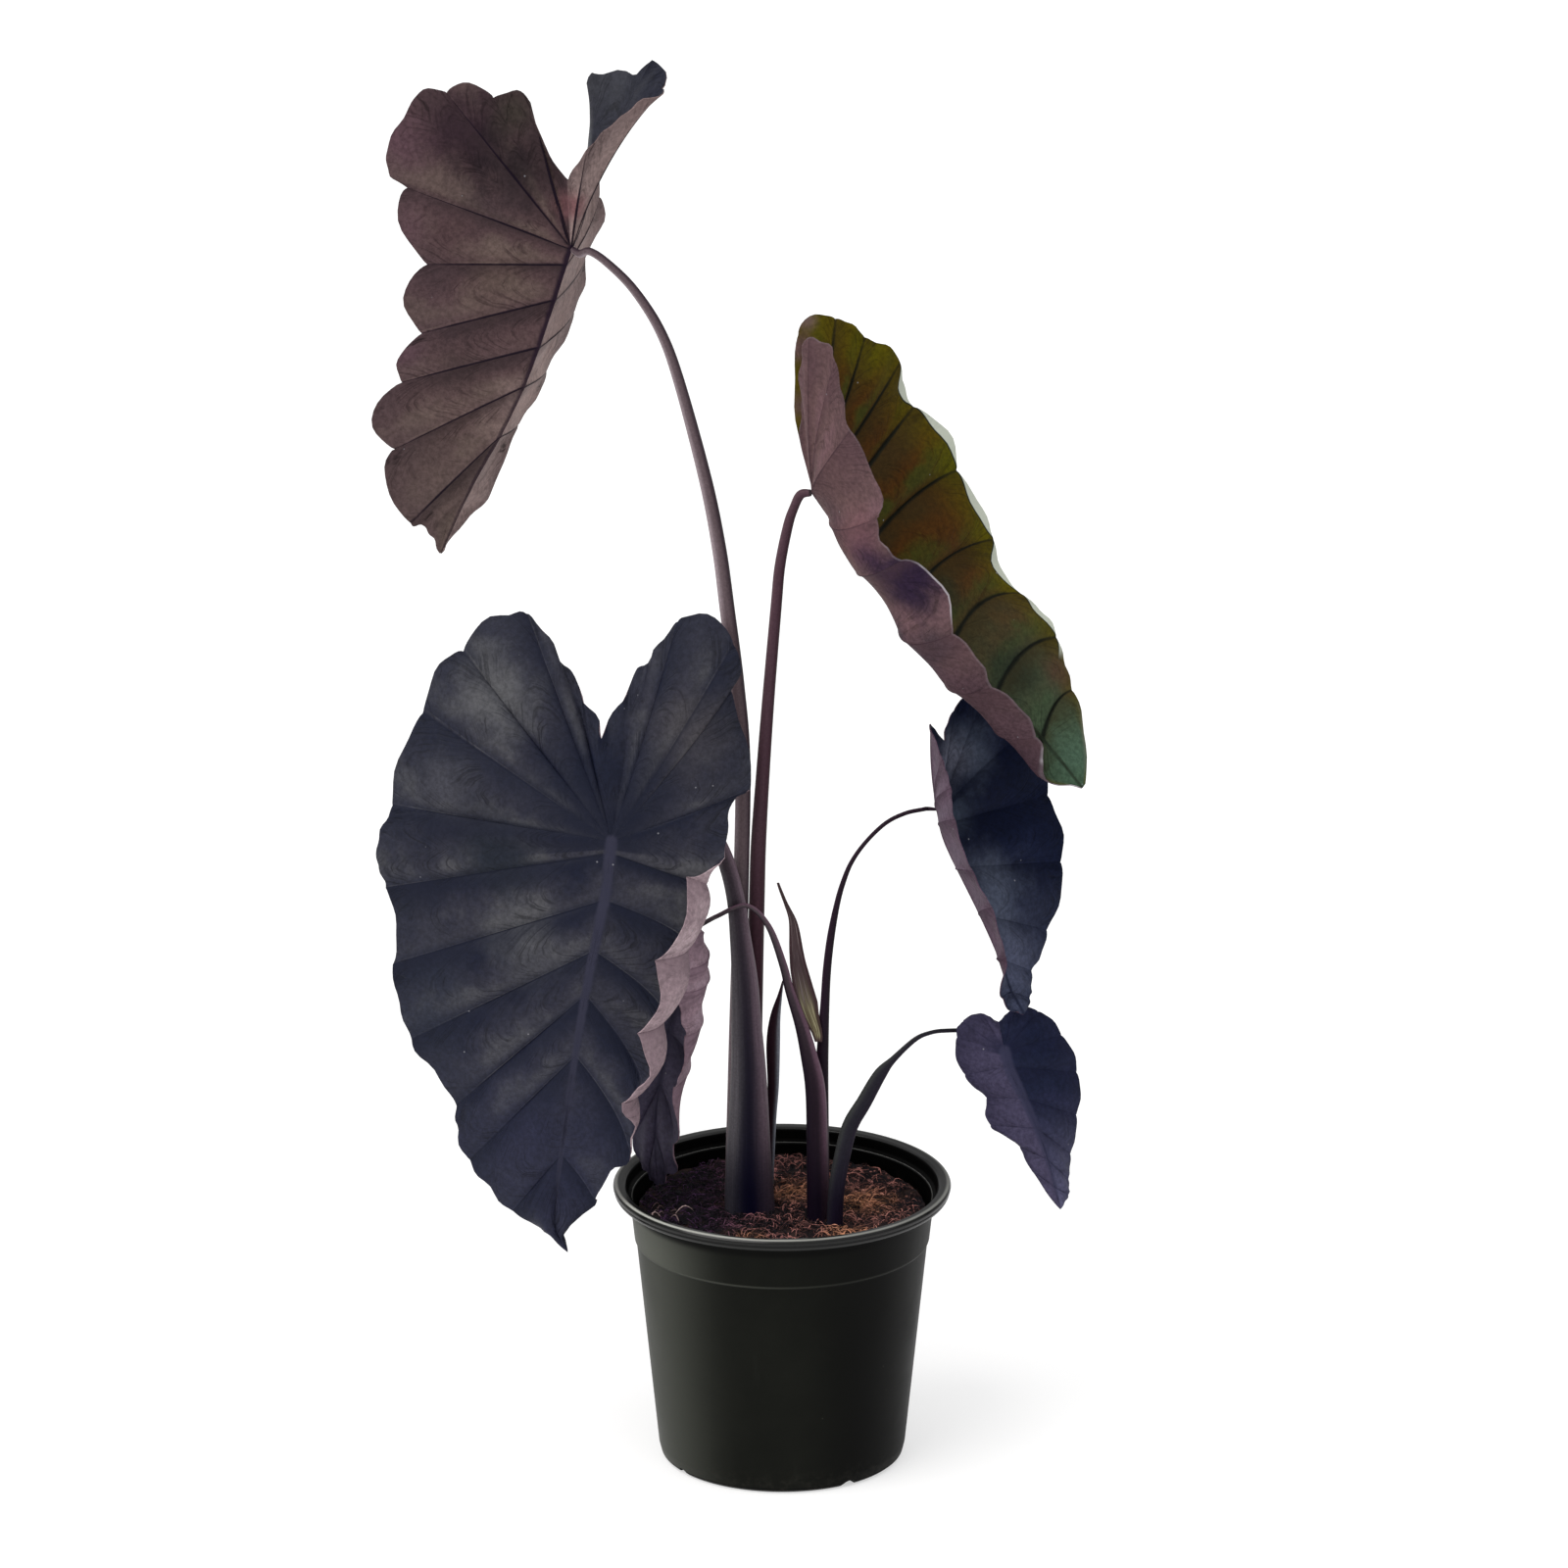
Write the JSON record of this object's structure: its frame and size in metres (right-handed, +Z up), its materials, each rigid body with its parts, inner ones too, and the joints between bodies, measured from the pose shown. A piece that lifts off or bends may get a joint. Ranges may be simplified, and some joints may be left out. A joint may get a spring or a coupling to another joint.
{
  "type": "potted elephant ear plant",
  "caption": "Potted plant with dark heart-shaped leaves on long arching stalks, in a round black nursery pot with a rolled rim",
  "frame": {"origin": "middle of the pot's flat underside, on the surface it stands on", "axes": "+Z up, the pot's axis; +Y away from the front of the plant; +X to the right as seen from the front"},
  "size_m": [0.3629, 0.174, 0.7343],
  "materials": {
    "pot": "matte black-green moulded plastic",
    "soil": "loose brown fibrous potting mix",
    "blade_brown": "brown-mauve leaf underside with dark veins",
    "blade_olive": "olive and brown leaf with a mauve underside",
    "blade_dark": "near-black slate blue leaf with a soft sheen",
    "stalk": "smooth dark purple-brown stalk",
    "sheath_dark": "dark maroon sheath",
    "sheath_dry": "dry papery straw-brown sheath"
  },
  "bodies": {
    "root": {"pot": "pot", "soil": "soil", "blade_a": "blade_brown", "blade_b": "blade_olive", "blade_c": "blade_dark", "blade_d": "blade_dark", "blade_e": "blade_dark", "blade_f": "blade_dark", "stalk_a": "stalk", "stalk_b": "stalk", "stalk_c": "stalk", "stalk_d": "stalk", "stalk_e": "stalk", "stalk_f": "stalk", "sheath_dark": "sheath_dark", "sheath_dry": "sheath_dry"}
  },
  "joints": []
}
